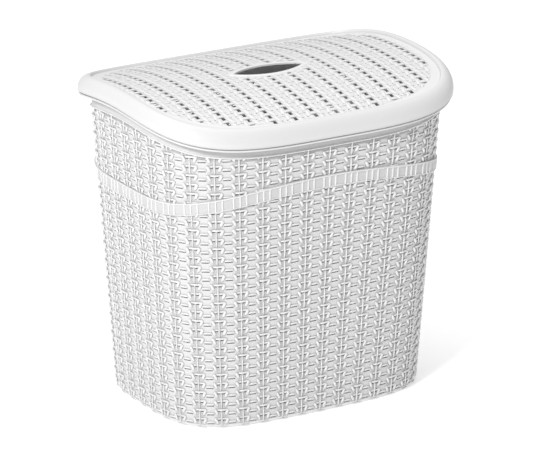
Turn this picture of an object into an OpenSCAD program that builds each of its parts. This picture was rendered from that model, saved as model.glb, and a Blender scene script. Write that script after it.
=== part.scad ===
// Laundry hamper with a lift-off lid: a tapering basket with a round-cornered, bow-fronted plan, a foot ring,
// a raised belt, a bead and an upstanding rim, and a lid that sits over the rim and locates inside it.
// Units are millimetres. The origin is at the middle of the foot, on the floor. +Z is up and the back is +Y.

/* [Overall] */
// Width of the lid, which is the widest part
lid_w = 440; // [360:1:540]
// Depth of the lid, front to back
lid_d = 330; // [270:1:400]
// Height of the basket's rim at the crown of the arch
rim_z = 415; // [345:1:500]

/* [Outline] */
// Squareness of the back corners, where 2 is an ellipse
back_n = 4.2; // [2.6:0.1:8]
// Squareness of the front corners
front_n = 3.7; // [2.6:0.1:8]
// How far the widest line lies behind the middle
waist_y = 8; // [-20:1:20]
// Radius of the arch that the rim and the lid follow, front to back
arch_r = 520; // [400:10:1200]
// How far the crown of the arch lies behind the middle
crown_y = 6; // [-20:1:20]

/* [Basket] */
// How far the lid reaches out past the wall, all round
overhang = 14.5; // [12.5:0.1:18]
// How far each side leans in from the neck to the base
lean = 23; // [10:1:35]
// Thickness of the wall
wall = 2.6; // [2:0.1:4]
// Thickness of the floor
floor_t = 3; // [2:0.1:5]
// Height of the foot ring under the floor
foot_h = 2; // [1:0.1:4]
// Width of the foot ring
foot_w = 12; // [8:1:20]
// Radius where the wall turns into the foot
base_r = 6; // [4:0.5:12]
// Distance from the rim down to the top of the patterned wall
neck_h = 34; // [30:1:45]

/* [Rim] */
// Gap between the lid's lower edge and the bead under it
bead_gap = 1.5; // [0.8:0.1:3]
// Height of the bead
bead_h = 3.2; // [2:0.1:5]
// How far the bead stands out from the neck
bead_out = 13; // [6:0.1:14]
// Thickness of the upstanding rim
rim_t = 2.4; // [2:0.1:3.4]

/* [Belt] */
// Distance from the top of the patterned wall down to the belt, both at their crowns
belt_drop = 61; // [50:1:75]
// Height of the belt itself
belt_h = 16; // [10:1:24]
// How far the belt stands out from the wall
belt_out = 2.2; // [1:0.1:3]
// Radius of the belt's arch, side to side
belt_r = 800; // [600:10:2000]

/* [Lid] */
// Thickness of the lid's sheet
sheet = 2.4; // [1.8:0.1:3]
// Height of the rolled edge, from its lower edge to its top
roll_h = 20; // [16:0.5:24]
// Height of the plain skirt under the rolled edge's curve
skirt_h = 4; // [2:0.5:6]
// How far the rolled edge stands above the panel
roll_rise = 4; // [2:0.5:6]
// Width of the rolled edge's flat top and inner side
roll_crest = 3.5; // [2.5:0.1:5]
// Size of the rounding along the inner side of the flat top
crest_r = 1; // [0.5:0.1:1.2]
// Depth of the rib that keeps the lid on the rim
rib_h = 8; // [4:0.5:12]
// Gap between the rib and the rim
rib_gap = 0.8; // [0.5:0.1:2]
// Gap between the lid's underside and the top of the rim
seat_gap = 0.3; // [0.3:0.1:1]

/* [Finger slot] */
// Length of the pointed slot at the middle of the lid
slot_l = 102; // [80:1:140]
// Width of the slot at its middle
slot_w = 35; // [24:1:45]

/* [Hidden] */

sides = 96;
turn_steps = 4;
roll_steps = 6;
panel_rings = 5;
slot_sides = 180;

// Insets from the lid's outermost edge
neck_in = overhang;
base_in = overhang + lean;
rib_in = neck_in + rim_t + rib_gap;
step_in = overhang;

// Heights at the crown of the arch
neck_z = rim_z - neck_h;
belt_z = neck_z - belt_drop;
panel_z = rim_z + seat_gap + sheet;
top_z = panel_z + roll_rise;
skirt_z = top_z - roll_h;
bead_z = skirt_z - bead_gap;

// Outline: a superellipse about the waist, with its own squareness behind and in front
function reach(a, b, n, angle) = pow(pow(abs(cos(angle)) / a, n) + pow(abs(sin(angle)) / b, n), -1 / n);
function edge(angle, inset) =
    let (
        behind = sin(angle) > 0,
        half_d = lid_d / 2 + (behind ? -waist_y : waist_y),
        r = reach(lid_w / 2 - inset, half_d - inset, behind ? back_n : front_n, angle)
    ) [r * cos(angle), waist_y + r * sin(angle)];
angles = [for (i = [0:sides - 1]) i * 360 / sides];

// How far the rim's line lies below its crown, and the belt's below its own
function arch(y) = sqrt(arch_r * arch_r - (y - crown_y) * (y - crown_y)) - arch_r;
function belt_arch(x) = sqrt(belt_r * belt_r - x * x) - belt_r;

// Rings of points: level, along the rim's arch, or on the wall at a height of their own
function level_ring(inset, z) = [for (a = angles) let (p = edge(a, inset)) [p.x, p.y, z]];
function rim_ring(inset, z) = [for (a = angles) let (p = edge(a, inset)) [p.x, p.y, z + arch(p.y)]];
function wall_inset(angle, z) =
    let (top = neck_z + arch(edge(angle, neck_in).y))
    base_in + (neck_in - base_in) * (z - base_r) / (top - base_r);
function belt_ring(out, drop) = [
    for (a = angles)
        let (
            z = belt_z - drop + belt_arch(edge(a, (neck_in + base_in) / 2).x),
            p = edge(a, wall_inset(a, z) - out)
        ) [p.x, p.y, z]
];
function panel_ring(share, z) = [
    for (a = angles)
        let (e = edge(a, step_in), x = e.x * share, y = waist_y + (e.y - waist_y) * share) [x, y, z + arch(y)]
];

// A closed solid through a list of rings, closed at each end by a fan to one point
module skin(rings, first, last) {
    n = sides;
    count = len(rings);
    points = concat([for (r = rings) each r], [first, last]);
    polyhedron(points, concat(
        [for (i = [0:n - 1]) [count * n, i, (i + 1) % n]],
        [for (r = [0:count - 2], i = [0:n - 1])
            let (a = r * n + i, b = r * n + (i + 1) % n) each [[a, a + n, b], [b, a + n, b + n]]],
        [for (i = [0:n - 1]) let (t = (count - 1) * n) [count * n + 1, t + (i + 1) % n, t + i]]
    ));
}

module basket() {
    belt_slope = belt_out / 2;
    bead_slope = bead_h / 2;
    bead_round = bead_h / 4;
    inner_r = base_r - wall;
    floor_z = foot_h + floor_t;
    foot_in = base_in + base_r;
    outside = concat(
        [level_ring(foot_in + foot_w + foot_h, foot_h), level_ring(foot_in + foot_w, 0)],
        [for (i = [0:turn_steps]) let (a = 90 * i / turn_steps)
            level_ring(base_in + base_r * (1 - sin(a)), base_r * (1 - cos(a)))],
        [belt_ring(0, belt_h), belt_ring(belt_out, belt_h - belt_slope)],
        [belt_ring(belt_out, belt_slope), belt_ring(0, 0)],
        [rim_ring(neck_in, neck_z)]
    );
    rim = [
        rim_ring(neck_in, bead_z - bead_h - bead_slope),
        rim_ring(neck_in - bead_out, bead_z - bead_h + bead_round),
        rim_ring(neck_in - bead_out, bead_z - bead_round),
        rim_ring(neck_in - bead_slope, bead_z),
        rim_ring(neck_in, bead_z),
        rim_ring(neck_in, rim_z),
        rim_ring(neck_in + rim_t, rim_z),
        rim_ring(neck_in + rim_t, bead_z)
    ];
    inside = concat(
        [rim_ring(neck_in + wall, neck_z)],
        [for (i = [0:turn_steps]) let (a = 90 * i / turn_steps)
            level_ring(base_in + wall + inner_r * (1 - cos(a)), floor_z + inner_r * (1 - sin(a)))]
    );
    color("whitesmoke")
        skin(concat(outside, rim, inside), [0, waist_y, foot_h], [0, waist_y, floor_z]);
}

module lid() {
    roll_w = step_in - roll_crest;
    under_w = roll_w - sheet;
    under_z = panel_z - sheet;
    curve_h = roll_h - skirt_h;
    skirt_round = sheet / 4;
    panel_under = concat(
        [for (i = [1:panel_rings - 1]) panel_ring(i / panel_rings, under_z)],
        [rim_ring(rib_in + sheet, under_z)]
    );
    rib = [rim_ring(rib_in + sheet, under_z - rib_h), rim_ring(rib_in, under_z - rib_h)];
    roll_under = concat(
        [rim_ring(rib_in, under_z), rim_ring(roll_w + crest_r, under_z)],
        [for (i = [0:roll_steps]) let (a = 90 * i / roll_steps)
            rim_ring(roll_w - under_w * sin(a), top_z - sheet - (curve_h - sheet) * (1 - cos(a)))]
    );
    roll = concat(
        [rim_ring(sheet, skirt_z), rim_ring(skirt_round, skirt_z)],
        [for (i = [roll_steps:-1:0]) let (a = 90 * i / roll_steps)
            rim_ring(roll_w * (1 - sin(a)), top_z - curve_h * (1 - cos(a)))],
        [rim_ring(step_in - 2 * crest_r, top_z), rim_ring(step_in - crest_r, top_z - crest_r)]
    );
    panel_top = [for (i = [panel_rings:-1:1]) panel_ring(i / panel_rings, panel_z)];
    slot_r = (slot_l * slot_l + slot_w * slot_w) / (4 * slot_w);
    color("white")
        difference() {
            skin(concat(panel_under, rib, roll_under, roll, panel_top),
                [0, waist_y, under_z + arch(waist_y)], [0, waist_y, panel_z + arch(waist_y)]);
            translate([0, 0, skirt_z])
                linear_extrude(roll_h + sheet)
                    intersection_for(side = [-1, 1])
                        translate([0, side * (slot_r - slot_w / 2)]) circle(slot_r, $fn = slot_sides);
        }
}

basket();
lid();
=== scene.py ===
"""Laundry hamper with a lift-off lid: the knitted basket, its belt and rim, and the pierced, arched lid."""

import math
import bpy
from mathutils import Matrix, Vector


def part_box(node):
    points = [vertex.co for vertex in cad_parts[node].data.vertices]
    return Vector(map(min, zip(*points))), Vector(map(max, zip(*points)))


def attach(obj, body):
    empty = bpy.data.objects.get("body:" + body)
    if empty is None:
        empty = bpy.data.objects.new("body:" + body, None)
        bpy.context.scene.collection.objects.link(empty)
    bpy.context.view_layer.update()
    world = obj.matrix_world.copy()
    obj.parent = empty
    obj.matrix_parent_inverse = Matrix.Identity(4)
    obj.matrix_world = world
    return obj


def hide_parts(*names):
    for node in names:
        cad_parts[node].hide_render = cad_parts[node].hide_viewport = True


bl_info = {
    "name": "Laundry Hamper With Lid",
    "version": (1, 0, 0),
    "blender": (4, 5, 0),
    "location": "3D View > Sidebar > Hamper",
    "description": "Models a knitted laundry hamper around its packed frame",
    "category": "Object",
}

import bpy
import numpy as np
from bpy.props import FloatProperty, FloatVectorProperty, IntProperty, PointerProperty
from mathutils import Vector

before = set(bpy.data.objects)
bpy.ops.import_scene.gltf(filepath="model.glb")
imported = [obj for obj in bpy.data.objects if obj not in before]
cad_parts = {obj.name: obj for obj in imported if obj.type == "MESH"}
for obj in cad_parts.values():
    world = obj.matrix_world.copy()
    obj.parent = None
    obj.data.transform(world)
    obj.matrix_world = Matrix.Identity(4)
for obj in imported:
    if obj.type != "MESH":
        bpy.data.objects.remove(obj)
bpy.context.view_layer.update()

BASKET_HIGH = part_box("basket")[1]
LID_LOW, LID_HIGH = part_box("lid")
MM = 0.001
FRONT = -math.pi / 2
TURN = 2 * math.pi
HOOP_SIDES = 288

# Corners of the lid's pattern, as a share of the outline's squareness behind and in front
PATTERN_BACK = 0.78
PATTERN_FRONT = 0.86
# Finger slot: what a spread adds to its half length, and the power that blunts its ends
LENS_TIP = 1.5
LENS_FULL = 0.82

# Plain base under the knit: how far it stands back, how high it goes, and its steps
BASE_BACK = 0.8 * MM
BASE_TOP = 5.0 * MM
BASE_STEPS = 6
# Wall: its lower edge, the plain strip under the neck, and how far it goes up behind the ledge
WALL_LOW = 4.2 * MM
WALL_PLAIN = 2.0 * MM
WALL_TUCK = 1.0 * MM
# Rows from the belt's crown down to the line where the wall's two parts meet
WALL_SPLIT = 2.4
# Painted shade on the wall's ground near the rib, and elsewhere, and how far from the rib the first one goes
RIB_GROUND_SHADE = -1.15 * MM
OPEN_GROUND_SHADE = -0.45 * MM
RIB_REACH = 0.3
# Knit on the wall: its lower end, and the gap between its upper end and the neck's line
KNIT_LOW = 2.5 * MM
KNIT_TOP = 0.3 * MM

# Belt: where its ribs stand in a column, their width, thickness and rounding, how much shorter than the
# belt they are and how far their middles lie in it, the belt's root in the wall, and its recesses' painted
# shade
BELT_RIBS = (0.0, 0.27, 0.73)
BELT_RIB_WIDTH = 1.7 * MM
BELT_RIB_THICK = 2.2 * MM
BELT_RIB_ROUND = 0.4 * MM
BELT_RIB_SHORT = 1.8 * MM
BELT_RIB_SINK = 0.75 * MM
BELT_ROOT = -1.8 * MM
BELT_SHADE = 0.9 * MM

# Lid: painted shade on its rolled edge, depth of its ground, how far the sheet goes under the smooth
# band, the plain strip inside that band, and the painted shade on the sheet's inner side
ROLL_SHADE = 0.28 * MM
LID_GROUND = 0.6 * MM
LID_TUCK = 4 * MM
LID_PLAIN = 1.5 * MM
LID_INNER_SHADE = -1.0 * MM
COLLAR_SIDES = 160
# Knit on the lid: columns and rows laid out, their shift in rows, half width and standout beside the
# wall's, how much lower it lies, and the share of its standout that the finish reads to paint shade
LID_COLUMNS = 15
LID_ROWS = 28
LID_KNIT_RISE = 0.40
LID_SWELL = 0.95
LID_RELIEF = 0.30
LID_SINK = 0.05 * MM
LID_SHADE = 0.5


def length(name, description, default, low=0.0):
    """A size in metres that a user may change."""
    return FloatProperty(
        name=name, description=description, default=default, min=low, unit="LENGTH", precision=4
    )


def colour(name, description, default):
    """A colour that a user may change."""
    return FloatVectorProperty(
        name=name, description=description, subtype="COLOR", default=default, min=0.0, max=1.0
    )


def turned(name, description, degrees):
    """An angle that a user may change."""
    return FloatProperty(
        name=name, description=description, default=math.radians(degrees), subtype="ANGLE"
    )


def power(name, description, default):
    """A lamp's power in watts that a user may change."""
    return FloatProperty(name=name, description=description, default=default, min=0.0)


def share(name, description, default, low=0.0, high=1.0):
    """A plain number that a user may change."""
    return FloatProperty(name=name, description=description, default=default, min=low, max=high)


class HamperShape(bpy.types.PropertyGroup):
    """Outline, heights and wall of the hamper"""

    lid_width: length("Lid width", "Widest part of the lid", LID_HIGH[0] - LID_LOW[0])
    lid_depth: length("Lid depth", "Front to back of the lid", LID_HIGH[1] - LID_LOW[1])
    rim_height: length("Rim height", "Basket's rim at the crown of its arch", BASKET_HIGH[2])
    back_square: share("Back squareness", "Squareness of the back corners", 4.2, 2.0, 10.0)
    front_square: share("Front squareness", "Squareness of the front corners", 3.7, 2.0, 10.0)
    waist: length("Waist", "How far the widest line lies behind the middle", 8 * MM, -0.05)
    arch: length("Arch radius", "Radius that the rim and lid follow, front to back", 0.520)
    crown: length("Crown", "How far the crown of the arch lies behind the middle", 6 * MM, -0.05)
    overhang: length("Overhang", "How far the lid reaches past the wall", 14.5 * MM)
    lean: length("Lean", "How far each side leans in from neck to base", 23 * MM)
    wall: length("Wall", "Thickness of the wall", 2.6 * MM)
    floor: length("Floor", "Thickness of the floor", 3 * MM)
    foot: length("Foot", "Height of the foot ring", 2 * MM)
    foot_width: length("Foot width", "Width of the foot ring", 12 * MM)
    base_round: length("Base rounding", "Radius where the wall turns into the foot", 6 * MM)
    neck: length("Neck", "Rim down to the top of the knit", 34 * MM)


class HamperRim(bpy.types.PropertyGroup):
    """Rim, bead, belt, rolled edge and finger slot"""

    rim: length("Rim", "Thickness of the upstanding rim", 2.4 * MM)
    bead_gap: length("Bead gap", "Lid's lower edge down to the bead", 1.5 * MM)
    bead: length("Bead height", "Height of the bead", 3.2 * MM)
    bead_out: length("Bead reach", "How far the bead stands out", 13 * MM)
    ledge: length("Ledge", "How far the ledge over the knit stands out", 1.3 * MM)
    belt_drop: length("Belt drop", "Top of the knit down to the belt", 61 * MM)
    belt: length("Belt height", "Height of the belt", 16 * MM)
    belt_out: length("Belt reach", "How far the belt stands out", 2.2 * MM)
    belt_arch: length("Belt arch", "Radius of the belt's arch, side to side", 0.800)
    sheet: length("Lid sheet", "Thickness of the lid's sheet", 2.4 * MM)
    roll: length("Rolled edge", "Height of the rolled edge", 20 * MM)
    skirt: length("Skirt", "Plain skirt under the rolled edge's curve", 4 * MM)
    rise: length("Edge rise", "How far the rolled edge stands above the panel", 4 * MM)
    crest: length("Edge crest", "Width of the rolled edge's flat top", 3.5 * MM)
    rib: length("Locating rib", "Depth of the rib inside the rim", 8 * MM)
    rib_gap: length("Rib gap", "Gap between the rib and the rim", 0.8 * MM)
    seat: length("Seat gap", "Gap between the lid and the rim", 0.3 * MM)
    slot_length: length("Slot length", "Length of the finger slot", 99 * MM)
    slot_width: length("Slot width", "Width of the finger slot", 35 * MM)
    collar: length("Collar", "Width of the smooth collar round the slot", 6.5 * MM)
    band: length("Smooth band", "Width of the smooth band inside the rolled edge", 5.5 * MM)


class HamperKnit(bpy.types.PropertyGroup):
    """Columns, rows and depth of the knitted pattern"""

    columns: IntProperty(name="Columns", description="Knit columns round the wall", default=40, min=8)
    row: length("Wall row", "Height of one knit row on the wall", 12.05 * MM)
    first_row: length("First row", "Height of the lowest shelf bar", 9.0 * MM)
    lid_pitch: length("Lid column", "Width of one knit column on the lid", 29.1 * MM)
    lid_row: length("Lid row", "Length of one knit row on the lid", 13.0 * MM)
    lid_shift: length("Lid shift", "Crown back to the nearest row of slots", -30.3 * MM, -1.0)
    depth: length("Relief", "Depth of the ground under the strands", 1.5 * MM)
    ground: length("Ground", "Thickness of the pierced ground", 1.1 * MM)


class HamperFinish(bpy.types.PropertyGroup):
    """Colour and gloss of the moulded plastic, and the painted shade laid in its recesses and deepest gaps"""

    white: colour("Plastic", "Colour of the plastic", (0.78, 0.78, 0.777))
    # Painted shade: the grey that recesses of the knit, rim, belt and lid edge are darkened towards
    shade: colour("Recess", "Colour of the plastic deep in the knit", (0.44, 0.44, 0.44))
    # Painted shade: the near black put in the deepest gaps, under the bead and the ledge and inside the lid's
    # lower edge
    crease_shade: colour("Crease", "Colour of the plastic in the deepest gaps", (0.08, 0.08, 0.08))
    gloss: share("Roughness", "Roughness of the satin surface", 0.42)
    grain: share("Grain", "Strength of the moulding grain", 0.06)


class HamperStage(bpy.types.PropertyGroup):
    """Camera, floor and lights"""

    azimuth: turned("Azimuth", "Camera's turn round the hamper", -30.54)
    elevation: turned("Elevation", "Camera's height as an angle", 18.81)
    distance: length("Distance", "Camera to the hamper", 5.851)
    aim: length("Aim", "Height that the camera looks at", 0.211)
    aim_side: length("Aim sideways", "How far to the right the camera looks", 8.3 * MM, -1.0)
    lens: FloatProperty(name="Lens", description="Focal length in millimetres", default=303.45, min=1.0)
    sky: share("Surround", "Strength of the white surround", 0.46, 0.0, 10.0)
    floor: share("Floor glow", "Light that the floor adds, to keep it white", 0.26, 0.0, 2.0)
    key: power("Key", "Power of the key light in watts", 90.0)
    fill: power("Fill", "Power of the top light in watts", 42.0)


# --- Outline and curves of the hamper, in metres, as the frame has them ---


class Plan:
    """Places on the hamper: its outline, its arched rim, its leaning wall and its lid."""

    TABLE = 2880

    def __init__(self, scene):
        self.s = scene.hamper_shape
        self.r = scene.hamper_rim
        self.k = scene.hamper_knit
        s, r = self.s, self.r
        self.neck_in = s.overhang
        self.base_in = s.overhang + s.lean
        self.rib_in = self.neck_in + r.rim + r.rib_gap
        self.neck_z = s.rim_height - s.neck
        self.belt_z = self.neck_z - r.belt_drop
        self.panel_z = s.rim_height + r.seat + r.sheet
        self.top_z = self.panel_z + r.rise
        self.skirt_z = self.top_z - r.roll
        self.bead_z = self.skirt_z - r.bead_gap
        turn = np.linspace(FRONT, FRONT + TURN, self.TABLE + 1)
        x, y = self.outline(turn, (self.neck_in + self.base_in) / 2)
        run = np.concatenate([[0], np.cumsum(np.hypot(np.diff(x), np.diff(y)))])
        self.turns = turn
        self.shares = run / run[-1]
        self.pitch = run[-1] / self.k.columns

    def halves(self, angle, inset):
        """Half width, half depth and squareness of the outline at an angle."""
        s = self.s
        behind = np.sin(angle) > 0
        half_w = s.lid_width / 2 - inset
        half_d = s.lid_depth / 2 + np.where(behind, -s.waist, s.waist) - inset
        return half_w, half_d, np.where(behind, s.back_square, s.front_square)

    def round_about(self, angle, half_w, half_d, n):
        """Points of a superellipse about the waist."""
        across = np.abs(np.cos(angle)) / half_w
        along = np.abs(np.sin(angle)) / half_d
        reach = (across**n + along**n) ** (-1 / n)
        return reach * np.cos(angle), self.s.waist + reach * np.sin(angle)

    def outline(self, angle, inset):
        return self.round_about(angle, *self.halves(angle, inset))

    def angle(self, column):
        """Angle of a knit column, counted from the middle of the front."""
        part = np.mod(np.asarray(column) / self.k.columns, 1.0)
        return np.interp(part, self.shares, self.turns)

    def arch(self, y):
        s = self.s
        return np.sqrt(s.arch**2 - (y - s.crown) ** 2) - s.arch

    def belt_arch(self, angle):
        x, _ = self.outline(angle, (self.neck_in + self.base_in) / 2)
        return np.sqrt(self.r.belt_arch**2 - x**2) - self.r.belt_arch

    def neck_line(self, angle):
        _, y = self.outline(angle, self.neck_in)
        return self.neck_z + self.arch(y)

    def knit_top(self, run):
        """Height where the knit ends, from lengths measured round the wall."""
        return self.neck_line(self.angle(run / self.pitch)) - KNIT_TOP

    def wall_inset(self, angle, z):
        s = self.s
        part = (z - s.base_round) / (self.neck_line(angle) - s.base_round)
        inset = self.base_in + (self.neck_in - self.base_in) * part
        under = np.clip(s.base_round - z, 0, s.base_round)
        return inset + s.base_round - np.sqrt(s.base_round**2 - under**2)

    def on_wall(self, angle, z, out):
        """Points on the leaning wall, moved out along its level normal."""
        inset = self.wall_inset(angle, z)
        x, y = self.outline(angle, inset)
        half_w, half_d, n = self.halves(angle, inset)
        side = np.sign(x) * (np.abs(x) / half_w) ** (n - 1) / half_w
        front = y - self.s.waist
        front = np.sign(front) * (np.abs(front) / half_d) ** (n - 1) / half_d
        size = np.hypot(side, front)
        return np.stack([x + out * side / size, y + out * front / size, z + 0 * x], axis=1)

    def level_ring(self, angle, inset, z):
        x, y = self.outline(angle, inset)
        return np.stack([x, y, z + 0 * x], axis=1)

    def rim_ring(self, angle, inset, z):
        x, y = self.outline(angle, inset)
        return np.stack([x, y, z + self.arch(y)], axis=1)

    def pattern_ring(self, angle, z, margin=0.0):
        x, y = self.pattern_edge(angle, margin)
        return np.stack([x, y, z + self.arch(y)], axis=1)

    def wall_ring(self, angle, out, z):
        return self.on_wall(angle, z + 0 * angle, out)

    def belt_ring(self, angle, out, drop):
        return self.on_wall(angle, self.belt_z - drop + self.belt_arch(angle), out)

    def on_panel(self, x, along, out):
        """Points on the lid's arched panel, from lengths measured along it."""
        s = self.s
        bend = along / s.arch
        y = s.crown + (s.arch + out) * np.sin(bend)
        z = self.panel_z - s.arch + (s.arch + out) * np.cos(bend)
        return np.stack([x + 0 * y, y, z], axis=1)

    def along_panel(self, y):
        return self.s.arch * np.arcsin((y - self.s.crown) / self.s.arch)

    def pattern_edge(self, angle, margin=0.0):
        """Inner edge of the lid's smooth band, with rounder corners than the outline."""
        half_w, half_d, n = self.halves(angle, self.s.overhang + self.r.band + margin)
        n = n * np.where(np.sin(angle) > 0, PATTERN_BACK, PATTERN_FRONT)
        return self.round_about(angle, half_w, half_d, n)

    def share_of_pattern(self, x, along, margin=0.0):
        """Where points of the flat panel lie behind the waist, and their share of the way to the edge."""
        away = self.s.crown + self.s.arch * np.sin(along / self.s.arch) - self.s.waist
        ex, ey = self.pattern_edge(np.arctan2(away, x), margin)
        return away, np.hypot(x, away) / np.hypot(ex, ey - self.s.waist)

    def in_pattern(self, x, along, margin=0.0):
        """Whether points of the flat panel lie inside the pattern's edge and off the collar."""
        _, part = self.share_of_pattern(x, along, margin)
        return (part < 1) & (np.abs(along - self.slot_at()) > self.lens(x, self.r.collar + margin))

    def kept_in_pattern(self, flat):
        """Flat points moved back to the pattern's edge, and sunk there, where they pass it."""
        away, part = self.share_of_pattern(flat[:, 0], flat[:, 1])
        shrink = 1 / np.maximum(part, 1)
        kept = flat.copy()
        kept[:, 0] *= shrink
        kept[:, 1] = self.along_panel(self.s.waist + away * shrink)
        kept[:, 2] -= np.where(part > 1, LID_GROUND, 0)
        return kept

    def slot_at(self):
        return float(self.along_panel(0.0))

    def lens(self, x, spread):
        """Half width of the pointed slot at x, grown by a spread."""
        half = self.r.slot_length / 2 + spread * LENS_TIP
        part = np.clip(1 - (x / half) ** 2, 0, None)
        return (self.r.slot_width / 2 + spread) * part**LENS_FULL


# --- Mesh helpers: a form is made flat or round with operators, then laid on the hamper ---


def clear_selection():
    if bpy.context.object and bpy.context.object.mode != "OBJECT":
        bpy.ops.object.mode_set(mode="OBJECT")
    bpy.ops.object.select_all(action="DESELECT")


def activate(piece):
    clear_selection()
    piece.select_set(True)
    bpy.context.view_layer.objects.active = piece


def named(name):
    """Names the object just made."""
    piece = bpy.context.object
    piece.name = name
    piece.data.name = name
    return piece


def points_of(piece):
    flat = np.empty(len(piece.data.vertices) * 3)
    piece.data.vertices.foreach_get("co", flat)
    return flat.reshape(-1, 3)


def put_points(piece, points):
    piece.data.vertices.foreach_set("co", np.ascontiguousarray(points, dtype=float).ravel())
    piece.data.update()


def note_shade_relief(piece, out):
    """Keeps a depth for each point, which the finish reads to paint shade: on the knit it is how far the
    point stands out, on other parts it is given to place the painted shade.
    """
    layer = piece.data.attributes.new("shade_relief", "FLOAT", "POINT")
    layer.data.foreach_set("value", np.asarray(out, dtype=float) / MM)


def pick(piece, kind, mask):
    """Goes into edit mode with only some of a piece's points (VERT) or faces (FACE) selected."""
    activate(piece)
    bpy.context.tool_settings.mesh_select_mode = (kind == "VERT", False, kind == "FACE")
    mesh = piece.data
    for part in (mesh.vertices, mesh.edges, mesh.polygons):
        part.foreach_set("select", np.zeros(len(part), dtype=bool))
    (mesh.vertices if kind == "VERT" else mesh.polygons).foreach_set("select", mask)
    bpy.ops.object.mode_set(mode="EDIT")


def drop(piece, kind, mask):
    if mask.any():
        pick(piece, kind, mask)
        bpy.ops.mesh.delete(type=kind)
        bpy.ops.object.mode_set(mode="OBJECT")


def tidy_mesh(piece, outward=True, near=1e-6):
    """Merges doubled points and, unless told not to, turns the faces outwards."""
    activate(piece)
    bpy.ops.object.mode_set(mode="EDIT")
    bpy.ops.mesh.select_mode(type="VERT")
    bpy.ops.mesh.select_all(action="SELECT")
    bpy.ops.mesh.remove_doubles(threshold=near)
    if outward:
        bpy.ops.mesh.normals_make_consistent(inside=False)
    bpy.ops.object.mode_set(mode="OBJECT")


def apply_all(piece):
    activate(piece)
    for modifier in list(piece.modifiers):
        bpy.ops.object.modifier_apply(modifier=modifier.name)


def tower(name, sides, levels):
    """A round tower of unit rings, one unit apart, open at both ends."""
    clear_selection()
    bpy.ops.mesh.primitive_circle_add(vertices=sides, radius=1.0, enter_editmode=True)
    for _ in range(levels - 1):
        bpy.ops.mesh.extrude_region_move(TRANSFORM_OT_translate={"value": (0, 0, 1)})
    bpy.ops.object.mode_set(mode="OBJECT")
    return named(name)


def ring_and_level(piece):
    points = points_of(piece)
    return np.arctan2(points[:, 1], points[:, 0]), np.rint(points[:, 2]).astype(int)


def close_loop(piece, level):
    """Joins the first and last rings of a tower, so its section is a closed loop."""
    pick(piece, "VERT", (level == 0) | (level == level.max()))
    bpy.ops.mesh.bridge_edge_loops()
    bpy.ops.object.mode_set(mode="OBJECT")


def cap_ends(piece, level):
    for end in (0, level.max()):
        pick(piece, "VERT", level == end)
        bpy.ops.mesh.edge_face_add()
        bpy.ops.object.mode_set(mode="OBJECT")


def hoop(name, plan, section, closed=True, shade_relief=None):
    """Sweeps a section round the hamper. A point of it is one of the plan's rings, with its sizes."""
    piece = tower(name, HOOP_SIDES, len(section))
    turn, level = ring_and_level(piece)
    if closed:
        close_loop(piece, level)
    else:
        cap_ends(piece, level)
    angle = plan.angle((turn - FRONT) / TURN * plan.k.columns)
    points = np.empty((len(turn), 3))
    for number, (ring, *sizes) in enumerate(section):
        here = level == number
        points[here] = ring(angle[here], *sizes)
    put_points(piece, points)
    if shade_relief:
        note_shade_relief(piece, np.array(shade_relief)[level])
    tidy_mesh(piece)
    return piece


def rod(name, stations, sides):
    """A closed rod through stations of x, z, out, half width and half thickness, lying flat."""
    piece = tower(name, sides, len(stations))
    turn, level = ring_and_level(piece)
    cap_ends(piece, level)
    way = np.array([(x, z) for x, z, *_ in stations])
    ahead = np.gradient(way, axis=0)
    ahead /= np.linalg.norm(ahead, axis=1)[:, None]
    points = np.empty((len(turn), 3))
    for number, (x, z, out, wide, thick) in enumerate(stations):
        here = level == number
        across, front = ahead[number][1], -ahead[number][0]
        points[here, 0] = x + np.cos(turn[here]) * wide * across
        points[here, 1] = z + np.cos(turn[here]) * wide * front
        points[here, 2] = out + np.sin(turn[here]) * thick
    put_points(piece, points)
    tidy_mesh(piece)
    return piece


def repeat(piece, across, along, step_x, step_y):
    """Copies a flat form into columns and rows."""
    for name, count, step in (("columns", across, (step_x, 0, 0)), ("rows", along, (0, step_y, 0))):
        array = piece.modifiers.new(name, "ARRAY")
        array.count = count
        array.use_relative_offset = False
        array.use_constant_offset = True
        array.constant_offset_displace = step
    apply_all(piece)


def cut_at(piece, height, normal):
    """Cuts a flat form off at a height, above it for 1 and below it for -1, and closes the cuts."""
    activate(piece)
    bpy.ops.object.mode_set(mode="EDIT")
    bpy.ops.mesh.select_all(action="SELECT")
    bpy.ops.mesh.bisect(
        plane_co=(0, height, 0), plane_no=(0, normal, 0), clear_outer=True, use_fill=True
    )
    bpy.ops.object.mode_set(mode="OBJECT")


def lines(starts, step, low, high, least=0.2 * MM):
    """Grid lines at the same places in every cell, kept between two ends."""
    first = math.floor(low / step) - 1
    last = math.ceil(high / step) + 1
    places = sorted(s + n * step for n in range(first, last) for s in starts)
    places = [p for p in places if low + least < p < high - least]
    return np.array([low, *places, high])


def ground_sheet(name, across, along):
    """A flat grid whose lines stand at the given places."""
    clear_selection()
    bpy.ops.mesh.primitive_grid_add(
        x_subdivisions=len(across) - 1, y_subdivisions=len(along) - 1, size=2.0
    )
    piece = named(name)
    points = points_of(piece)
    column = np.rint((points[:, 0] + 1) / 2 * (len(across) - 1)).astype(int)
    line = np.rint((points[:, 1] + 1) / 2 * (len(along) - 1)).astype(int)
    points[:, 0] = across[column]
    points[:, 1] = along[line]
    put_points(piece, points)
    return piece


def middles(piece):
    flat = np.empty(len(piece.data.polygons) * 3)
    piece.data.polygons.foreach_get("center", flat)
    return flat.reshape(-1, 3)


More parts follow.
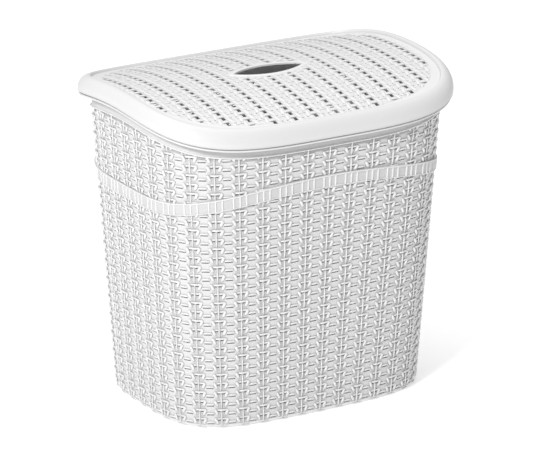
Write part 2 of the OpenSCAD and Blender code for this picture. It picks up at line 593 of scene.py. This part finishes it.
def thicken(piece, thickness, inner_shade_relief):
    """Gives a sheet its thickness inwards, and its inner side a painted shade depth of its own."""
    outer = len(piece.data.vertices)
    solid = piece.modifiers.new("thickness", "SOLIDIFY")
    solid.thickness = thickness
    solid.offset = -1
    solid.use_even_offset = False
    apply_all(piece)
    layer = piece.data.attributes["shade_relief"].data
    shade_relief = np.empty(len(layer))
    layer.foreach_get("value", shade_relief)
    shade_relief[outer:] = inner_shade_relief / MM
    layer.foreach_set("value", shade_relief)


# --- One cell of the knit, in shares of its column width and row height ---


class Cell:
    """Sizes of the knit for one surface. The shelf bar's middle is the cell's zero.

    A strand leans from a foot to a head: lean holds their places and its half width. The slit lies between
    wide's shares of a column and slit's of a row, the small holes beside the rib between small's and hole's.
    A tail is the share of a column where the slit's thin end begins, and the row's share where it starts.
    """

    # Stations of a bar: place across, rise, how far it stands out (mm), swell, half thickness (mm)
    SHELF = (
        (0.29, 0, -2.0, 0.7, 0.8), (0.34, 0, -0.9, 1.0, 1.1), (0.5, 0, -0.75, 1.08, 1.25),
        (0.66, 0, -0.9, 1.0, 1.1), (0.71, 0, -2.0, 0.7, 0.8),
    )
    OVER = (
        (-0.19, 0, -1.4, 0.7, 0.9), (-0.133, 0, -0.4, 1.0, 1.3), (0, 0, 0.1, 1.05, 1.3),
        (0.189, 0.02, -0.2, 1.0, 1.3), (0.27, 0.04, -0.9, 0.9, 1.0),
    )
    UNDER = (
        (-0.19, 0, -1.4, 0.7, 0.9), (-0.1235, 0, -0.6, 1.0, 1.1), (0, 0, -1.9, 1.0, 0.9),
        (0.135, 0, -0.5, 1.0, 1.2), (0.27, 0.04, -0.9, 0.9, 1.0),
    )
    SHELF_WIDTH, OVER_WIDTH, UNDER_WIDTH = 0.095, 0.105, 0.1
    # Stations of a strand: share of its length, how far it stands out (mm), swell, half thickness (mm)
    STRAND = (
        (0.0, -1.4, 0.5, 0.9), (0.2, -0.7, 0.9, 1.3), (0.5, -0.4, 1.05, 1.5), (0.8, -0.4, 1.0, 1.4),
        (1.0, -1.2, 0.6, 0.9),
    )
    # Rib: how low its ends lie and how far its middle rises (mm), its half width in columns and thickness
    RIB_END, RIB_LIFT, RIB_WIDTH, RIB_THICK = -1.9, 1.4, 0.036, 1.15
    RIB_FULL = 0.8
    RIB_STEPS = 6
    BAR_RISE = 0.38
    ROD_SIDES, RIB_SIDES = 8, 6
    SLACK = 1e-4

    def __init__(self, pitch, row, lean, wide, slit, small, hole, tail=None):
        self.pitch = pitch
        self.row = row
        self.lean = lean
        self.wide = wide
        self.slit = slit
        self.small = small
        self.hole = hole
        self.tail = tail

    def across(self):
        """Where the openings' edges lie in a column."""
        tail = self.tail[:1] if self.tail else ()
        return [*self.wide, *self.small, -self.small[0], -self.small[1], *tail]

    def levels(self):
        """Where the openings' edges lie in a row."""
        tail = self.tail[1:] if self.tail else ()
        return [*self.slit, *self.hole, *tail]

    def pierced(self, column, height):
        """Which faces of the ground are open, from their middles in columns and rows."""
        part = np.mod(column, 1.0)
        near = np.mod(column + 0.5, 1.0) - 0.5
        level = np.mod(height - self.slit[0], 1.0) + self.slit[0]
        wide = (part > self.wide[0]) & (part < self.wide[1])
        wide &= (level > self.slit[0]) & (level < self.slit[1])
        if self.tail:
            thin = (part > self.tail[0]) & (part < self.wide[0] + self.SLACK)
            wide |= thin & (level > self.tail[1]) & (level < self.slit[1])
        level = np.mod(height - self.hole[0], 1.0) + self.hole[0]
        small = (np.abs(near) > self.small[0]) & (np.abs(near) < self.small[1])
        small &= (level > self.hole[0]) & (level < self.hole[1])
        return wide | small

    def crossbar(self, name, stations, height, width):
        """A bar across the cell, at a height and with a half width in rows."""
        return rod(name, [
            (x * self.pitch, (height + rise) * self.row, out * MM, width * self.row * swell, thick * MM)
            for x, rise, out, swell, thick in stations
        ], self.ROD_SIDES)

    def shelf(self, name, size):
        """The bar under each slit."""
        return self.crossbar(name, self.SHELF, 0, self.SHELF_WIDTH * size)

    def bar(self, name, size):
        """The bar that passes over the rib, every other row."""
        return self.crossbar(name, self.OVER, 1 + self.BAR_RISE, self.OVER_WIDTH * size)

    def stub(self, name, size):
        """The bar that passes under the rib, in the rows between."""
        return self.crossbar(name, self.UNDER, self.BAR_RISE, self.UNDER_WIDTH * size)

    def strand(self, name, side, size):
        """One leaning strand of the stocking stitch, beside the rib."""
        low_x, low_z, high_x, high_z, wide = self.lean
        return rod(name, [
            (
                side * (low_x + (high_x - low_x) * part) * self.pitch,
                (low_z + (high_z - low_z) * part) * self.row,
                out * MM, wide * swell * size, thick * MM,
            )
            for part, out, swell, thick in self.STRAND
        ], self.ROD_SIDES)

    def rib(self, name, size):
        """Two rows of the thin upright rib, from under one bar to under the next."""
        stations = []
        for step in range(self.RIB_STEPS + 1):
            part = step / self.RIB_STEPS
            lift = math.sin(math.pi * part) ** self.RIB_FULL
            stations.append((
                0, (self.BAR_RISE + 1 + 2 * part) * self.row, (self.RIB_END + self.RIB_LIFT * lift) * MM,
                self.RIB_WIDTH * self.pitch * size, self.RIB_THICK * MM,
            ))
        return rod(name, stations, self.RIB_SIDES)


def knit_parts(cell, body, size):
    """The six forms of the knit, each with the number of rows after which it comes again."""
    return (
        (cell.shelf(f"{body}_shelves", size), 1),
        (cell.strand(f"{body}_strands_left", -1, size), 1),
        (cell.strand(f"{body}_strands_right", 1, size), 1),
        (cell.bar(f"{body}_bars", size), 2),
        (cell.stub(f"{body}_stubs", size), 2),
        (cell.rib(f"{body}_ribs", size), 2),
    )


# --- Shader maths and the plastic ---


class Value:
    """A number socket that grows Math nodes when it is used in an expression."""

    def __init__(self, finish, socket):
        self.finish = finish
        self.socket = socket

    def _with(self, operation, *values):
        return self.finish.node("ShaderNodeMath", {"operation": operation}, dict(enumerate(values)))

    def __add__(self, other):
        return self._with("ADD", self, other)

    def __sub__(self, other):
        return self._with("SUBTRACT", self, other)

    def __mul__(self, other):
        return self._with("MULTIPLY", self, other)

    def clamped(self):
        return self.finish.node("ShaderNodeClamp", {}, {"Value": self, "Min": 0.0, "Max": 1.0})


class Finish:
    """A material under construction."""

    def __init__(self, name):
        self.material = bpy.data.materials.new(name)
        self.material.use_nodes = True
        self.tree = self.material.node_tree
        self.shader = next(n for n in self.tree.nodes if n.type == "BSDF_PRINCIPLED")

    def node(self, kind, settings, inputs, output=0):
        made = self.tree.nodes.new(kind)
        for key, setting in settings.items():
            setattr(made, key, setting)
        for key, value in inputs.items():
            self.join(made.inputs[key], value)
        return Value(self, made.outputs[output])

    def noise(self, place, scale, **others):
        return self.node("ShaderNodeTexNoise", {}, {"Vector": place, "Scale": scale, **others})

    def mix(self, factor, first, second):
        """A colour between two: inputs 0, 6 and 7 are the factor and the colours, output 2 the mix."""
        return self.node("ShaderNodeMix", {"data_type": "RGBA"}, {0: factor, 6: first, 7: second}, 2)

    def join(self, socket, value):
        if isinstance(value, Value):
            self.tree.links.new(value.socket, socket)
        else:
            socket.default_value = value

    def set(self, **inputs):
        for key, value in inputs.items():
            self.join(self.shader.inputs[key.replace("_", " ")], value)


# Moulded plastic: how fine its grain, flow marks and clouds are, and the clouds' tint, start and rate
GRAIN_SCALE = 1400.0
FLOW_SCALE = 22.0
CLOUD_SCALE = 7.0
CLOUD_TINT = (0.975, 0.975, 0.97)
CLOUD_START, CLOUD_RATE = 0.35, 0.5
# How fast the painted shade of recesses and of the deepest gaps comes in, per millimetre of depth, and where
# each starts
DEEP_RATE, DEEP_START = -0.55, 0.05
CREASE_RATE, CREASE_START = -0.5, -1.0
# Roughness that the flow marks and the recesses add, and the part taken off to keep its middle
FLOW_DULL, DEEP_DULL, MIDDLE_DULL = 0.10, 0.15, 0.05
# Depth of the grain, and how many times deeper the flow marks are
GRAIN_DEPTH = 0.2 * MM
FLOW_DEPTH = 2.0
PLASTIC_IOR = 1.49


def moulded_plastic(name, scene, knitted):
    """Satin polypropylene: fine grain, flow marks, faint clouds, and, if knitted, painted shade that darkens
    its recesses and deepest gaps.
    """
    look = scene.hamper_finish
    finish = Finish(name)
    place = finish.node("ShaderNodeTexCoord", {}, {}, "Object")
    grain = finish.noise(place, GRAIN_SCALE, Detail=3.0)
    flow = finish.noise(place, FLOW_SCALE, Detail=4.0, Distortion=0.6)
    cloud = finish.noise(place, CLOUD_SCALE, Detail=2.0)
    cloudy = [white * tint for white, tint in zip(look.white, CLOUD_TINT)]
    tone = finish.mix((cloud - CLOUD_START) * CLOUD_RATE, (*look.white, 1.0), (*cloudy, 1.0))
    dull = flow * FLOW_DULL
    if knitted:
        # Painted shade: the colour goes towards the recess grey as a point lies deeper, and towards near
        # black in the deepest gaps
        shade_relief = finish.node("ShaderNodeAttribute", {"attribute_name": "shade_relief"}, {}, "Fac")
        deep = (shade_relief * DEEP_RATE + DEEP_START).clamped()
        tone = finish.mix(deep, tone, (*look.shade, 1.0))
        crease_shade = (shade_relief * CREASE_RATE + CREASE_START).clamped()
        tone = finish.mix(crease_shade, tone, (*look.crease_shade, 1.0))
        dull = dull + deep * DEEP_DULL
    height = grain + flow * FLOW_DEPTH
    bump = finish.node(
        "ShaderNodeBump", {}, {"Strength": look.grain, "Distance": GRAIN_DEPTH, "Height": height}
    )
    finish.set(
        Base_Color=tone, Roughness=dull + (look.gloss - MIDDLE_DULL), Normal=bump, IOR=PLASTIC_IOR
    )
    return finish.material


def plastic(kind):
    """The finish for smooth pieces, or for knitted and other pieces whose recesses get painted shade, made
    once.
    """
    name = f"white_plastic_{kind}"
    return bpy.data.materials.get(name) or moulded_plastic(name, bpy.context.scene, kind == "knit")


def hand_over(piece, body, kind, degrees=0):
    """Rounds a piece's shading up to an angle, and gives it its finish and its body."""
    if degrees:
        activate(piece)
        bpy.ops.object.shade_smooth_by_angle(angle=math.radians(degrees))
    piece.data.materials.clear()
    piece.data.materials.append(plastic(kind))
    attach(piece, body)


# --- Operators ---


def quarter(steps):
    """Sine and one minus cosine over a quarter turn."""
    for step in range(steps + 1):
        turn = math.pi / 2 * step / steps
        yield math.sin(turn), 1 - math.cos(turn)


class HAMPER_OT_base(bpy.types.Operator):
    """Model the floor, the foot ring and the rounded base"""

    bl_idname = "hamper.base"
    bl_label = "Base"

    def execute(self, context):
        plan = Plan(context.scene)
        s = plan.s
        foot_in = plan.base_in + s.base_round
        inner = s.base_round - s.wall
        floor_z = s.foot + s.floor
        section = [
            (plan.level_ring, foot_in + s.foot_width + s.foot, s.foot),
            (plan.level_ring, foot_in + s.foot_width, 0.0),
            (plan.level_ring, foot_in - 0.5 * MM, 0.0),
        ]
        for step in range(1, BASE_STEPS + 1):
            part = step / BASE_STEPS
            section.append((plan.wall_ring, -BASE_BACK * min(1, 3 * part), BASE_TOP * part))
        section += [
            (plan.wall_ring, -s.wall, BASE_TOP + 0.5 * MM),
            (plan.level_ring, plan.base_in + s.wall + inner * 0.3, floor_z + inner * 0.35),
            (plan.level_ring, plan.base_in + s.wall + inner, floor_z),
        ]
        piece = hoop("basket_base", plan, section, closed=False)
        hand_over(piece, "basket", "smooth", 50)
        return {"FINISHED"}


class HAMPER_OT_rim(bpy.types.Operator):
    """Model the neck, the ledge over the knit, the bead and the rim"""

    bl_idname = "hamper.rim"
    bl_label = "Rim"

    def execute(self, context):
        plan = Plan(context.scene)
        s, r = plan.s, plan.r
        neck, edge = plan.neck_in, 0.5 * MM
        bead_mid = plan.bead_z - r.bead / 2
        bead_low = plan.bead_z - r.bead
        tail = plan.neck_z - 5 * MM
        # Inset, height at the crown of the arch, and depth of painted shade
        points = [
            (neck + s.wall, tail, 0), (neck + s.wall, plan.neck_z, 0),
            (neck + r.rim, plan.bead_z, 0), (neck + r.rim, s.rim_height - edge, 0),
            (neck + r.rim - edge, s.rim_height, 0), (neck + edge, s.rim_height, 0),
            (neck, s.rim_height - edge, 0), (neck, plan.bead_z + edge, 0),
        ]
        # Painted shade on the bead's lower side, darker towards the neck
        bead_shade_relief = (0, 0, 0, 0, 0, 0, -0.6, -1.6, -2.4)
        for step, shade_relief in enumerate(bead_shade_relief):
            turn = math.pi * step / (len(bead_shade_relief) - 1)
            points.append((
                neck - r.bead_out + r.bead / 2 * (1 - math.sin(turn)),
                bead_mid + r.bead / 2 * math.cos(turn),
                shade_relief * MM,
            ))
        # Painted shade under the bead, near black at first and fading down the neck, and again under the
        # ledge
        points += [
            (neck - 1.2 * MM, bead_low - 0.3 * MM, -2.6 * MM),
            (neck + 0.3 * MM, bead_low - 1.2 * MM, -2.8 * MM),
            (neck + 0.8 * MM, bead_low - 4.5 * MM, -2.5 * MM),
            (neck + 0.9 * MM, bead_low - 6.0 * MM, -1.4 * MM),
            (neck + 0.8 * MM, bead_low - 8.5 * MM, -0.9 * MM),
            (neck + 0.7 * MM, plan.neck_z + 3.6 * MM, -0.35 * MM),
            (neck + 0.2 * MM, plan.neck_z + 2.4 * MM, -0.1 * MM),
            (neck - r.ledge, plan.neck_z + 1.6 * MM, 0),
            (neck - r.ledge, plan.neck_z + 0.6 * MM, 0),
            (neck - r.ledge + 0.4 * MM, plan.neck_z, -0.8 * MM),
            (neck + 1.3 * MM, plan.neck_z - 0.2 * MM, -2.8 * MM),
            (neck + 1.6 * MM, tail, -1.6 * MM),
        ]
        section = [(plan.rim_ring, inset, z) for inset, z, _ in points]
        piece = hoop("basket_rim", plan, section, shade_relief=[p[2] for p in points])
        hand_over(piece, "basket", "knit", 45)
        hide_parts("basket")
        return {"FINISHED"}


def wall_cell(plan):
    return Cell(
        plan.pitch, plan.k.row, lean=(0.165, -0.23, 0.305, 0.45, 1.8 * MM), wide=(0.33, 0.67),
        slit=(-0.275, -0.175), small=(0.05, 0.165), hole=(0.10, 0.21),
    )


class HAMPER_OT_wall(bpy.types.Operator):
    """Model the pierced ground of the wall, in a lower and an upper part"""

    bl_idname = "hamper.wall"
    bl_label = "Pierced wall"

    def execute(self, context):
        plan = Plan(context.scene)
        k, cell = plan.k, wall_cell(plan)
        across = lines(cell.across(), 1.0, 0.0, float(k.columns))
        split = k.first_row + (math.floor(plan.belt_z / k.row) - WALL_SPLIT) * k.row
        marks = [k.first_row + level * k.row for level in cell.levels()]
        for name, start, end in (
            ("basket_wall_lower", WALL_LOW, split),
            ("basket_wall_upper", split, plan.neck_z + 2 * WALL_TUCK),
        ):
            piece = ground_sheet(name, across, lines(marks, k.row, start, end))
            mid = middles(piece)
            angle = plan.angle(mid[:, 0])
            neck = plan.neck_line(angle)
            belt = plan.belt_z + plan.belt_arch(angle)
            open_here = cell.pierced(mid[:, 0], (mid[:, 1] - k.first_row) / k.row)
            open_here &= (mid[:, 1] > belt) | (mid[:, 1] < belt - plan.r.belt)
            open_here &= mid[:, 1] < neck - WALL_PLAIN
            drop(piece, "FACE", open_here | (mid[:, 1] > neck + WALL_TUCK))
            flat = points_of(piece)
            angle = plan.angle(flat[:, 0])
            z = np.minimum(flat[:, 1], plan.neck_line(angle) + WALL_TUCK / 2)
            put_points(piece, plan.on_wall(angle, z, -k.depth))
            # Painted shade on the ground: darker near the rib, lighter across the open columns, though both
            # lie at one depth
            from_rib = np.abs(np.mod(flat[:, 0] + 0.5, 1.0) - 0.5)
            note_shade_relief(piece, np.where(from_rib < RIB_REACH, RIB_GROUND_SHADE, OPEN_GROUND_SHADE))
            tidy_mesh(piece, outward=False)
            thicken(piece, k.ground, 0.0)
            hand_over(piece, "basket", "knit")
        return {"FINISHED"}


class HAMPER_OT_knit(bpy.types.Operator):
    """Model the strands, bars and ribs that stand on the wall"""

    bl_idname = "hamper.knit"
    bl_label = "Knit on the wall"

    def execute(self, context):
        plan = Plan(context.scene)
        k, cell = plan.k, wall_cell(plan)
        rows = int(plan.neck_z / k.row) + 2
        for piece, every in knit_parts(cell, "basket", 1.0):
            repeat(piece, k.columns, rows // every + 2, plan.pitch, every * k.row)
            flat = points_of(piece)
            flat[:, 1] += k.first_row - 2 * every * k.row
            flat[:, 1] -= plan.knit_top(flat[:, 0])
            put_points(piece, flat)
            cut_at(piece, 0.0, 1)
            flat = points_of(piece)
            flat[:, 1] += plan.knit_top(flat[:, 0])
            put_points(piece, flat)
            cut_at(piece, KNIT_LOW, -1)
            flat = points_of(piece)
            put_points(piece, plan.on_wall(plan.angle(flat[:, 0] / plan.pitch), flat[:, 1], flat[:, 2]))
            # Painted shade: the finish darkens the knit's lower parts from how far each point stands out
            note_shade_relief(piece, flat[:, 2])
            hand_over(piece, "basket", "knit", 60)
        return {"FINISHED"}


class HAMPER_OT_belt(bpy.types.Operator):
    """Model the raised belt and its upright ribs"""

    bl_idname = "hamper.belt"
    bl_label = "Belt"

    def execute(self, context):
        plan = Plan(context.scene)
        r, k = plan.r, plan.k
        # Painted shade in the belt's recesses, along its root and at its lower edge
        out, deep = r.belt_out, -BELT_SHADE
        face, lip = out - 0.9 * MM, out + 0.35 * MM
        # How far it stands out, drop below the belt's upper line, and depth of painted shade
        section = [
            (BELT_ROOT, 0.2 * MM, deep), (out - 0.2 * MM, 0.0, 0), (lip, 0.5 * MM, 0), (lip, 1.5 * MM, 0),
            (face, 2.2 * MM, deep), (face, r.belt - 1.6 * MM, deep), (out, r.belt - 1.1 * MM, 0),
            (out - 0.3 * MM, r.belt - 0.2 * MM, -0.3 * MM), (face, r.belt, deep),
            (BELT_ROOT, r.belt, deep),
        ]
        places = [(plan.belt_ring, reach, drop) for reach, drop, _ in section]
        band = hoop("basket_belt", plan, places, shade_relief=[p[2] for p in section])
        hand_over(band, "basket", "knit", 35)
        clear_selection()
        bpy.ops.mesh.primitive_cube_add(size=1.0, enter_editmode=True)
        bpy.ops.transform.resize(value=(BELT_RIB_WIDTH, r.belt - BELT_RIB_SHORT, BELT_RIB_THICK))
        bpy.ops.mesh.bevel(offset=BELT_RIB_ROUND, segments=2, affect="EDGES")
        bpy.ops.object.mode_set(mode="OBJECT")
        ribs = named("basket_belt_ribs")
        points = points_of(ribs)
        points[:, 1] -= r.belt / 2
        points[:, 2] += r.belt_out - BELT_RIB_SINK
        put_points(ribs, points)
        each, group = len(points), len(BELT_RIBS)
        repeat(ribs, k.columns * group, 1, plan.pitch, 0.0)
        flat = points_of(ribs)
        number = np.arange(len(flat)) // each
        middle = number // group + np.array(BELT_RIBS)[number % group]
        column = flat[:, 0] / plan.pitch - number + middle
        z = plan.belt_z + plan.belt_arch(plan.angle(middle)) + flat[:, 1]
        put_points(ribs, plan.on_wall(plan.angle(column), z, flat[:, 2]))
        tidy_mesh(ribs, near=1e-7)
        hand_over(ribs, "basket", "smooth", 60)
        return {"FINISHED"}


class HAMPER_OT_lid_edge(bpy.types.Operator):
    """Model the lid's rolled edge, its skirt, its locating rib and the smooth band"""

    bl_idname = "hamper.lid_edge"
    bl_label = "Rolled edge"

    def execute(self, context):
        plan = Plan(context.scene)
        s, r = plan.s, plan.r
        roll_w = s.overhang - r.crest
        curve = r.roll - r.skirt
        under = plan.panel_z - r.sheet
        # Inset, height at the crown of the arch, and depth of painted shade
        points = [
            (plan.rib_in + r.sheet, under, 0), (plan.rib_in + r.sheet, under - r.rib, 0),
            (plan.rib_in, under - r.rib, 0), (plan.rib_in, under, 0), (roll_w + 1 * MM, under, 0),
        ]
        for sine, drop in quarter(8):
            inset = roll_w - (roll_w - r.sheet) * sine
            points.append((inset, plan.top_z - r.sheet - (curve - r.sheet) * drop, 0))
        # Painted shade inside the skirt's lower edge, near black there and fading up its outside
        points += [
            (r.sheet, plan.skirt_z + 0.4 * MM, -3.5 * MM), (r.sheet - 0.5 * MM, plan.skirt_z, -3.5 * MM),
            (0.5 * MM, plan.skirt_z, -3.0 * MM), (0.1 * MM, plan.skirt_z + 0.5 * MM, -1.2 * MM),
            (0.0, plan.skirt_z + r.skirt / 2, -0.45 * MM),
        ]
        # Painted shade over the rolled edge and in its step down to the panel
        for sine, drop in reversed(list(quarter(14))):
            points.append((roll_w * (1 - sine), plan.top_z - curve * drop, -ROLL_SHADE))
        points += [
            (s.overhang - 1.8 * MM, plan.top_z, -ROLL_SHADE),
            (s.overhang - 1.1 * MM, plan.top_z - 0.3 * MM, -ROLL_SHADE),
            (s.overhang - 0.8 * MM, plan.top_z - 1.0 * MM, -0.2 * MM),
            (s.overhang - 0.3 * MM, plan.panel_z + 0.7 * MM, -0.9 * MM),
            (s.overhang + 0.4 * MM, plan.panel_z, -0.8 * MM),
            (s.overhang + 1.2 * MM, plan.panel_z, -0.1 * MM),
        ]
        band = [
            (plan.pattern_ring, plan.panel_z, -2.0 * MM),
            (plan.pattern_ring, plan.panel_z, -0.4 * MM),
            (plan.pattern_ring, plan.panel_z - 0.4 * MM),
            (plan.pattern_ring, plan.panel_z - r.sheet),
        ]
        section = [(plan.rim_ring, inset, z) for inset, z, _ in points] + band
        shade_relief = [p[2] for p in points] + [0] * len(band)
        piece = hoop("lid_edge", plan, section, shade_relief=shade_relief)
        hand_over(piece, "lid", "knit", 42)
        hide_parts("lid")
        return {"FINISHED"}


def lid_cell(plan):
    return Cell(
        plan.k.lid_pitch, plan.k.lid_row, lean=(0.20, -0.35, 0.30, 0.60, 2.4 * MM), wide=(0.425, 0.605),
        slit=(-0.28, 0.27), small=(0.085, 0.155), hole=(-0.28, 0.04), tail=(0.345, 0.14),
    )


class HAMPER_OT_lid_panel(bpy.types.Operator):
    """Model the lid's pierced ground and the collar round the finger slot"""

    bl_idname = "hamper.lid_panel"
    bl_label = "Lid panel"

    def execute(self, context):
        plan = Plan(context.scene)
        k, cell = plan.k, lid_cell(plan)
        half_w = plan.s.lid_width / 2 - plan.s.overhang
        front = float(plan.along_panel(-plan.s.lid_depth / 2 + plan.s.overhang))
        back = float(plan.along_panel(plan.s.lid_depth / 2 - plan.s.overhang))
        across = lines([p * cell.pitch for p in cell.across()], cell.pitch, -half_w, half_w)
        marks = [k.lid_shift + level * cell.row for level in cell.levels()]
        piece = ground_sheet("lid_panel", across, lines(marks, cell.row, front, back))
        mid = middles(piece)
        inside = plan.in_pattern(mid[:, 0], mid[:, 1], -LID_TUCK)
        open_here = cell.pierced(mid[:, 0] / cell.pitch, (mid[:, 1] - k.lid_shift) / cell.row)
        open_here &= plan.in_pattern(mid[:, 0], mid[:, 1], LID_PLAIN)
        drop(piece, "FACE", open_here | ~inside)
        flat = points_of(piece)
        put_points(piece, plan.on_panel(flat[:, 0], flat[:, 1], -LID_GROUND))
        # Painted shade on the lid's ground, at a share of its depth
        note_shade_relief(piece, np.full(len(flat), -LID_GROUND * LID_SHADE))
        tidy_mesh(piece, outward=False)
        # Painted shade on the sheet's inner side
        thicken(piece, k.ground, LID_INNER_SHADE)
        hand_over(piece, "lid", "knit")
        self.collar(plan)
        return {"FINISHED"}

    def collar(self, plan):
        """A smooth ring round the slot, with a lip that goes down inside it."""
        r = plan.r
        # Spread from the slot's edge, and how far it stands out
        section = [
            (r.collar, -r.sheet), (r.collar, -0.5 * MM), (r.collar - 0.5 * MM, 0.0), (1.6 * MM, 0.15 * MM),
            (0.7 * MM, 0.1 * MM), (0.15 * MM, -0.25 * MM), (0.0, -0.9 * MM), (0.0, -r.sheet - 0.2 * MM),
            (1.5 * MM, -r.sheet - 0.2 * MM), (1.6 * MM, -r.sheet),
        ]
        piece = tower("lid_collar", COLLAR_SIDES, len(section))
        turn, number = ring_and_level(piece)
        close_loop(piece, number)
        spread = np.array([p[0] for p in section])[number]
        out = np.array([p[1] for p in section])[number]
        half = r.slot_length / 2 + spread * LENS_TIP
        x = half * np.cos(turn)
        wide = (r.slot_width / 2 + spread) * np.abs(np.sin(turn)) ** (2 * LENS_FULL)
        along = plan.slot_at() + np.sign(np.sin(turn)) * wide
        put_points(piece, plan.on_panel(x, along, out))
        tidy_mesh(piece)
        hand_over(piece, "lid", "smooth", 45)


class HAMPER_OT_lid_knit(bpy.types.Operator):
    """Model the strands, bars and ribs that stand on the lid"""

    bl_idname = "hamper.lid_knit"
    bl_label = "Knit on the lid"

    def execute(self, context):
        plan = Plan(context.scene)
        k, cell = plan.k, lid_cell(plan)
        for piece, every in knit_parts(cell, "lid", LID_SWELL):
            each = len(piece.data.vertices)
            repeat(piece, LID_COLUMNS, LID_ROWS // every, cell.pitch, every * cell.row)
            flat = points_of(piece)
            flat[:, 0] -= (LID_COLUMNS // 2) * cell.pitch
            flat[:, 1] += k.lid_shift - (LID_ROWS // 2 - LID_KNIT_RISE) * cell.row
            flat[:, 2] = flat[:, 2] * LID_RELIEF - LID_SINK
            seen = plan.in_pattern(flat[:, 0], flat[:, 1]).reshape(-1, each).any(axis=1)
            slot = plan.slot_at()
            side = np.sign((flat[:, 1] - slot).reshape(-1, each).mean(axis=1)).repeat(each)
            edge = plan.lens(flat[:, 0], plan.r.collar / 2)
            inside = (edge > 0) & ((flat[:, 1] - slot) * side < edge)
            flat[inside, 1] = (slot + side * edge)[inside]
            put_points(piece, plan.kept_in_pattern(flat))
            drop(piece, "VERT", ~np.repeat(seen, each))
            flat = points_of(piece)
            put_points(piece, plan.on_panel(flat[:, 0], flat[:, 1], flat[:, 2]))
            # Painted shade: the finish darkens the lid's knit from a share of how far each point stands out
            note_shade_relief(piece, flat[:, 2] * LID_SHADE)
            hand_over(piece, "lid", "knit", 60)
        return {"FINISHED"}


# Lights: place and width of each, in metres
KEY_PLACE, KEY_SIZE = (-2.8, -1.8, 2.4), 0.8
TOP_PLACE, TOP_SIZE = (0.4, 0.6, 3.2), 2.4
FLOOR_RADIUS = 40.0


class HAMPER_OT_stage(bpy.types.Operator):
    """Set up the floor, the surround, the lights and the camera"""

    bl_idname = "hamper.stage"
    bl_label = "Stage"

    def execute(self, context):
        scene = context.scene
        stage = scene.hamper_stage
        clear_selection()
        bpy.ops.mesh.primitive_circle_add(vertices=96, radius=FLOOR_RADIUS, fill_type="NGON")
        floor = named("floor")
        finish = Finish("pale_floor")
        place = finish.node("ShaderNodeTexCoord", {}, {}, "Object")
        tone = finish.mix(finish.noise(place, 3.0), (0.93, 0.93, 0.93, 1), (0.95, 0.95, 0.95, 1))
        finish.set(Base_Color=tone, Roughness=0.9, Emission_Color=(1, 1, 1, 1), Emission_Strength=stage.floor)
        floor.data.materials.append(finish.material)

        world = bpy.data.worlds.new("white_surround")
        world.use_nodes = True
        glow = next(n for n in world.node_tree.nodes if n.type == "BACKGROUND")
        glow.inputs["Color"].default_value = (1, 1, 1, 1)
        glow.inputs["Strength"].default_value = stage.sky
        scene.world = world
        scene.view_settings.view_transform = "Standard"
        scene.view_settings.look = "None"

        toward = Vector((0, 0, stage.aim))
        self.light("key", KEY_PLACE, toward, KEY_SIZE, stage.key)
        self.light("top", TOP_PLACE, toward, TOP_SIZE, stage.fill)

        side = Vector((math.cos(stage.azimuth), math.sin(stage.azimuth), 0))
        back = Vector((
            math.sin(stage.azimuth) * math.cos(stage.elevation),
            -math.cos(stage.azimuth) * math.cos(stage.elevation),
            math.sin(stage.elevation),
        ))
        aim = toward + side * stage.aim_side
        bpy.ops.object.camera_add(location=aim + back * stage.distance)
        camera = bpy.context.object
        camera.name = "camera"
        camera.rotation_euler = back.to_track_quat("Z", "Y").to_euler()
        camera.data.lens = stage.lens
        camera.data.sensor_width = 36.0
        camera.data.clip_end = 200.0
        scene.camera = camera
        return {"FINISHED"}

    def light(self, name, place, toward, size, power):
        bpy.ops.object.light_add(type="AREA", location=place)
        lamp = bpy.context.object
        lamp.name = name
        lamp.rotation_euler = (Vector(place) - toward).to_track_quat("Z", "Y").to_euler()
        lamp.data.shape = "DISK"
        lamp.data.size = size
        lamp.data.energy = power


OPERATORS = (
    HAMPER_OT_stage, HAMPER_OT_base, HAMPER_OT_rim, HAMPER_OT_wall, HAMPER_OT_knit, HAMPER_OT_belt,
    HAMPER_OT_lid_edge, HAMPER_OT_lid_panel, HAMPER_OT_lid_knit,
)


class HAMPER_PT_panel(bpy.types.Panel):
    """Steps and sizes of the hamper"""

    bl_idname = "HAMPER_PT_panel"
    bl_label = "Laundry hamper"
    bl_space_type = "VIEW_3D"
    bl_region_type = "UI"
    bl_category = "Hamper"

    def draw(self, context):
        column = self.layout.column(align=True)
        for operator in OPERATORS:
            column.operator(operator.bl_idname)
        for group in GROUPS:
            sizes = getattr(context.scene, group)
            self.layout.label(text=type(sizes).__doc__)
            column = self.layout.column(align=True)
            for name in type(sizes).__annotations__:
                column.prop(sizes, name)


GROUPS = {
    "hamper_shape": HamperShape, "hamper_rim": HamperRim, "hamper_knit": HamperKnit,
    "hamper_finish": HamperFinish, "hamper_stage": HamperStage,
}


def register():
    for kind in (*GROUPS.values(), *OPERATORS, HAMPER_PT_panel):
        bpy.utils.register_class(kind)
    for name, kind in GROUPS.items():
        setattr(bpy.types.Scene, name, PointerProperty(type=kind))


def unregister():
    for name in GROUPS:
        delattr(bpy.types.Scene, name)
    for kind in reversed((*GROUPS.values(), *OPERATORS, HAMPER_PT_panel)):
        bpy.utils.unregister_class(kind)


def main():
    register()
    for operator in OPERATORS:
        group, name = operator.bl_idname.split(".")
        getattr(getattr(bpy.ops, group), name)()


if __name__ == "__main__":
    main()
